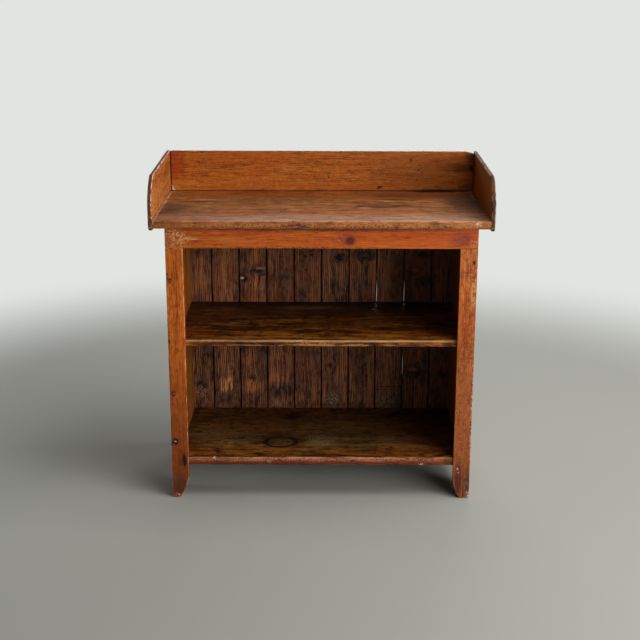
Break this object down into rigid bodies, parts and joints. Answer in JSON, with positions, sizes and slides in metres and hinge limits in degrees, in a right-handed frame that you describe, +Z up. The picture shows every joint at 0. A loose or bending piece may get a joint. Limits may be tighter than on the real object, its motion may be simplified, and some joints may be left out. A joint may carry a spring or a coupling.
{
  "type": "bucket bench cabinet",
  "caption": "Open pine bucket bench: a galleried top over open shelf compartments, with a plain front frame, a boarded back and sawn feet.",
  "frame": {"origin": "on the floor, under the middle of the object's box", "axes": "+X to the right seen from the front, +Y from the front to the back, +Z up"},
  "size_m": [0.9744, 0.476, 0.979],
  "materials": {
    "finished_pine": "aged orange-brown varnish, worn at the edges",
    "worn_pine": "worn grey-brown, satin",
    "shelf_pine": "dark brown, satin, knotty",
    "back_pine": "dark brown, matt, knotty",
    "nail_iron": "rusted iron"
  },
  "bodies": {
    "root": {"side_panel_left": "finished_pine", "side_panel_right": "finished_pine", "front_stile_left": "finished_pine", "front_stile_right": "finished_pine", "top_rail": "finished_pine", "gallery_back": "finished_pine", "gallery_side_left": "finished_pine", "gallery_side_right": "finished_pine", "top_board": "worn_pine", "shelf_middle": "shelf_pine", "shelf_bottom": "shelf_pine", "back_board_01": "back_pine", "back_board_02": "back_pine", "back_board_03": "back_pine", "back_board_04": "back_pine", "back_board_05": "back_pine", "back_board_06": "back_pine", "back_board_07": "back_pine", "back_board_08": "back_pine", "back_board_09": "back_pine", "back_board_10": "back_pine", "nail_stile_left_1": "nail_iron", "nail_stile_left_2": "nail_iron", "nail_stile_left_3": "nail_iron", "nail_stile_right_1": "nail_iron", "nail_stile_right_2": "nail_iron", "nail_stile_right_3": "nail_iron", "nail_rail_left_1": "nail_iron", "nail_rail_left_2": "nail_iron", "nail_rail_right_1": "nail_iron", "nail_rail_right_2": "nail_iron", "nail_top_left_1": "nail_iron", "nail_top_left_2": "nail_iron", "nail_top_right_1": "nail_iron", "nail_top_right_2": "nail_iron", "nail_top_rail_1": "nail_iron", "nail_top_rail_2": "nail_iron", "nail_shelf_left_1": "nail_iron", "nail_shelf_left_2": "nail_iron", "nail_shelf_right_1": "nail_iron", "nail_shelf_right_2": "nail_iron", "nail_bottom_left_1": "nail_iron", "nail_bottom_left_2": "nail_iron", "nail_bottom_right_1": "nail_iron", "nail_bottom_right_2": "nail_iron", "nail_gallery_left_1": "nail_iron", "nail_gallery_left_2": "nail_iron", "nail_gallery_left_3": "nail_iron", "nail_gallery_right_1": "nail_iron", "nail_gallery_right_2": "nail_iron", "nail_gallery_right_3": "nail_iron", "nail_gallery_back_left_1": "nail_iron", "nail_gallery_back_left_2": "nail_iron", "nail_gallery_back_right_1": "nail_iron", "nail_gallery_back_right_2": "nail_iron"}
  },
  "joints": []
}
